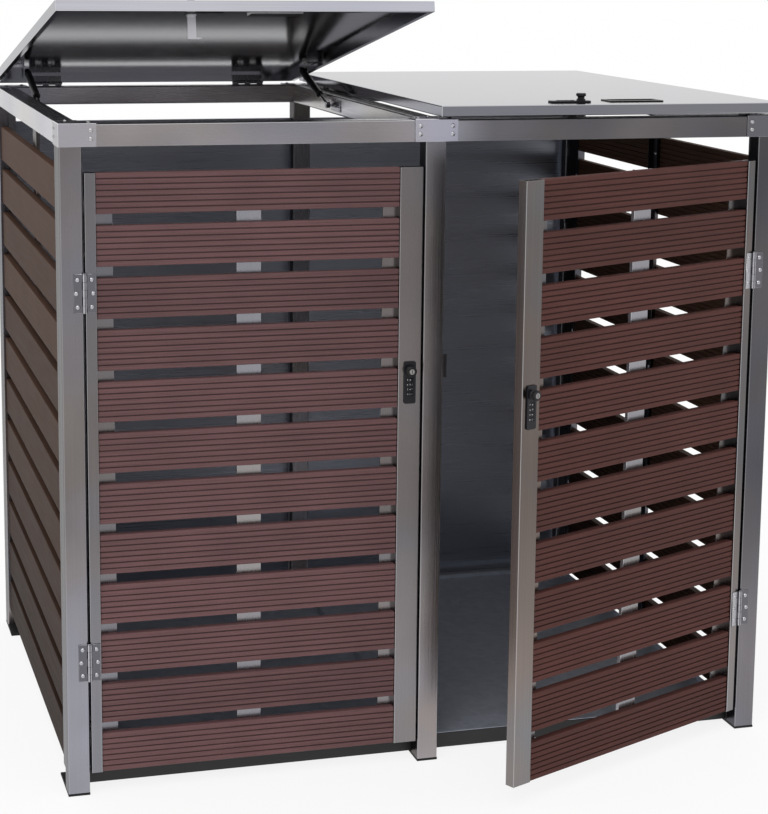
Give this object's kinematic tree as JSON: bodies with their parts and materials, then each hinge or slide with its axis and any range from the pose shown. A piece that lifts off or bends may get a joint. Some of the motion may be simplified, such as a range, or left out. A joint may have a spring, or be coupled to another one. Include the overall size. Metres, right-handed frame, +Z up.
{
  "type": "wheelie bin store",
  "caption": "Stainless steel garden store for two wheelie bins, with boarded doors and sides, folded steel lids on gas springs and combination locks.",
  "frame": {"origin": "on the ground under the centre of the middle front post's foot", "axes": "+X to the right seen from the front, +Y from the front to the back, +Z up"},
  "size_m": [1.3888, 1.3372, 1.4566],
  "materials": {
    "stainless_frame": "brushed",
    "stainless_door": "brushed",
    "stainless_lid": "fine brushed",
    "hinge_steel": "satin",
    "door_boards": "matt wood-plastic, grooved",
    "side_boards": "matt wood-plastic, grooved",
    "rear_sheet": "satin dark grey",
    "floor_sheet": "mill finish",
    "base_steel": "matt black",
    "foot_plastic": "matt black",
    "screw_steel": "polished",
    "spring_black": "gloss black",
    "spring_chrome": "polished",
    "lock_black": "satin black",
    "handle_black": "satin black"
  },
  "bodies": {
    "frame": {"front_posts": "stainless_frame", "rear_posts": "stainless_frame", "front_rails": "stainless_frame", "rear_rails": "stainless_frame", "depth_rails": "stainless_frame", "corner_brackets": "stainless_frame", "side_frames": "stainless_frame", "hinge_frame_leaves": "hinge_steel", "spring_frame_brackets": "stainless_frame", "left_side_boards": "side_boards", "right_side_boards": "side_boards", "frame_screws": "screw_steel", "rear_panels": "rear_sheet", "base_rails": "base_steel", "floor_trays": "floor_sheet", "feet": "foot_plastic", "hinge_pins": "hinge_steel", "lock_keepers": "stainless_frame"},
    "left_door": {"left_door_hinge_stile": "stainless_door", "left_door_lock_stile": "stainless_door", "left_door_centre_bar": "stainless_door", "left_door_boards": "door_boards", "left_door_hinge_leaves": "hinge_steel", "left_door_screws": "screw_steel", "left_door_lock_case": "lock_black"},
    "left_lid": {"left_lid_pan": "stainless_lid", "left_lid_handle": "handle_black", "left_lid_hinge_leaves": "hinge_steel", "left_lid_spring_brackets": "stainless_lid", "left_lid_lock_case": "lock_black"},
    "right_door": {"right_door_hinge_stile": "stainless_door", "right_door_lock_stile": "stainless_door", "right_door_centre_bar": "stainless_door", "right_door_boards": "door_boards", "right_door_hinge_leaves": "hinge_steel", "right_door_screws": "screw_steel", "right_door_lock_case": "lock_black"},
    "right_lid": {"right_lid_pan": "stainless_lid", "right_lid_handle": "handle_black", "right_lid_hinge_leaves": "hinge_steel", "right_lid_spring_brackets": "stainless_lid", "right_lid_lock_case": "lock_black"},
    "left_lid_left_spring_rod": {"left_lid_left_spring_rod": "spring_chrome"},
    "left_lid_left_spring_cylinder": {"left_lid_left_spring_cylinder": "spring_black"},
    "left_lid_right_spring_rod": {"left_lid_right_spring_rod": "spring_chrome"},
    "left_lid_right_spring_cylinder": {"left_lid_right_spring_cylinder": "spring_black"},
    "right_lid_left_spring_rod": {"right_lid_left_spring_rod": "spring_chrome"},
    "right_lid_left_spring_cylinder": {"right_lid_left_spring_cylinder": "spring_black"},
    "right_lid_right_spring_rod": {"right_lid_right_spring_rod": "spring_chrome"},
    "right_lid_right_spring_cylinder": {"right_lid_right_spring_cylinder": "spring_black"},
    "left_door_lock_knob": {"left_door_lock_knob": "lock_black"},
    "left_door_lock_dials": {"left_door_lock_dials": "lock_black"},
    "right_door_lock_knob": {"right_door_lock_knob": "lock_black"},
    "right_door_lock_dials": {"right_door_lock_dials": "lock_black"},
    "left_lid_lock_knob": {"left_lid_lock_knob": "lock_black"},
    "left_lid_lock_dials": {"left_lid_lock_dials": "lock_black"},
    "right_lid_lock_knob": {"right_lid_lock_knob": "lock_black"},
    "right_lid_lock_dials": {"right_lid_lock_dials": "lock_black"}
  },
  "joints": [
    {"name": "left_door_hinge", "type": "hinge", "parent": "frame", "child": "left_door", "pos_m": [-0.6482, -0.024, 0.936], "axis": [0, 0, -1], "range_deg": [0, 160]},
    {"name": "right_door_hinge", "type": "hinge", "parent": "frame", "child": "right_door", "pos_m": [0.6482, -0.024, 0.936], "axis": [0, 0, 1], "range_deg": [-25, 135]},
    {"name": "left_lid_hinge", "type": "hinge", "parent": "frame", "child": "left_lid", "pos_m": [-0.3485, 1.034, 1.239], "axis": [-1, 0, 0], "range_deg": [-10.2, 34.8]},
    {"name": "right_lid_hinge", "type": "hinge", "parent": "frame", "child": "right_lid", "pos_m": [0.3485, 1.034, 1.239], "axis": [-1, 0, 0], "range_deg": [0, 45]},
    {"name": "left_lid_left_spring_pivot", "type": "hinge", "parent": "frame", "child": "left_lid_left_spring_rod", "pos_m": [-0.638, 0.637, 1.215], "axis": [1, 0, 0], "range_deg": [-5.43, 17.09]},
    {"name": "left_lid_left_spring_stroke", "type": "slide", "parent": "left_lid_left_spring_rod", "child": "left_lid_left_spring_cylinder", "axis": [0, 0.9678, 0.2517], "range_m": [-0.02372, 0.07853]},
    {"name": "left_lid_right_spring_pivot", "type": "hinge", "parent": "frame", "child": "left_lid_right_spring_rod", "pos_m": [-0.032, 0.637, 1.215], "axis": [1, 0, 0], "range_deg": [-5.43, 17.09]},
    {"name": "left_lid_right_spring_stroke", "type": "slide", "parent": "left_lid_right_spring_rod", "child": "left_lid_right_spring_cylinder", "axis": [0, 0.9678, 0.2517], "range_m": [-0.02372, 0.07853]},
    {"name": "right_lid_left_spring_pivot", "type": "hinge", "parent": "frame", "child": "right_lid_left_spring_rod", "pos_m": [0.032, 0.637, 1.215], "axis": [1, 0, 0], "range_deg": [-0.6, 23.57]},
    {"name": "right_lid_left_spring_stroke", "type": "slide", "parent": "right_lid_left_spring_rod", "child": "right_lid_left_spring_cylinder", "axis": [0, 0.9914, 0.131], "range_m": [-0.001, 0.07797]},
    {"name": "right_lid_right_spring_pivot", "type": "hinge", "parent": "frame", "child": "right_lid_right_spring_rod", "pos_m": [0.638, 0.637, 1.215], "axis": [1, 0, 0], "range_deg": [-0.6, 23.57]},
    {"name": "right_lid_right_spring_stroke", "type": "slide", "parent": "right_lid_right_spring_rod", "child": "right_lid_right_spring_cylinder", "axis": [0, 0.9914, 0.131], "range_m": [-0.001, 0.07797]},
    {"name": "left_door_knob_turn", "type": "hinge", "parent": "left_door", "child": "left_door_lock_knob", "pos_m": [-0.0456, -0.023, 0.77], "axis": [0, -1, 0], "range_deg": [0, 90]},
    {"name": "left_door_dials_turn", "type": "hinge", "parent": "left_door", "child": "left_door_lock_dials", "pos_m": [-0.0456, -0.0165, 0.752], "axis": [0, 0, 1], "continuous": true},
    {"name": "right_door_knob_turn", "type": "hinge", "parent": "right_door", "child": "right_door_lock_knob", "pos_m": [0.10164, -0.27776, 0.77], "axis": [-0.4226, 0.9063, 0], "range_deg": [0, 90]},
    {"name": "right_door_dials_turn", "type": "hinge", "parent": "right_door", "child": "right_door_lock_dials", "pos_m": [0.09889, -0.27187, 0.752], "axis": [0, 0, 1], "continuous": true},
    {"name": "left_lid_knob_turn", "type": "hinge", "parent": "left_lid", "child": "left_lid_lock_knob", "pos_m": [-0.4415, 0.05029, 1.4414], "axis": [0, -0.1771, -0.9842], "range_deg": [0, 90]},
    {"name": "left_lid_dials_turn", "type": "hinge", "parent": "left_lid", "child": "left_lid_lock_dials", "pos_m": [-0.4235, 0.04914, 1.435], "axis": [1, 0, 0], "continuous": true},
    {"name": "right_lid_knob_turn", "type": "hinge", "parent": "right_lid", "child": "right_lid_lock_knob", "pos_m": [0.3015, 0.03, 1.264], "axis": [0, 0, -1], "range_deg": [0, 90]},
    {"name": "right_lid_dials_turn", "type": "hinge", "parent": "right_lid", "child": "right_lid_lock_dials", "pos_m": [0.2835, 0.03, 1.2575], "axis": [1, 0, 0], "continuous": true}
  ],
  "couplings": [
    {"joint": "left_lid_left_spring_pivot", "follows": "left_lid_hinge", "ratio": 0.474},
    {"joint": "left_lid_left_spring_stroke", "follows": "left_lid_hinge", "m_per_rad": 0.12765},
    {"joint": "left_lid_right_spring_pivot", "follows": "left_lid_hinge", "ratio": 0.474},
    {"joint": "left_lid_right_spring_stroke", "follows": "left_lid_hinge", "m_per_rad": 0.12765},
    {"joint": "right_lid_left_spring_pivot", "follows": "right_lid_hinge", "ratio": 0.5105},
    {"joint": "right_lid_left_spring_stroke", "follows": "right_lid_hinge", "m_per_rad": 0.098},
    {"joint": "right_lid_right_spring_pivot", "follows": "right_lid_hinge", "ratio": 0.5105},
    {"joint": "right_lid_right_spring_stroke", "follows": "right_lid_hinge", "m_per_rad": 0.098}
  ]
}
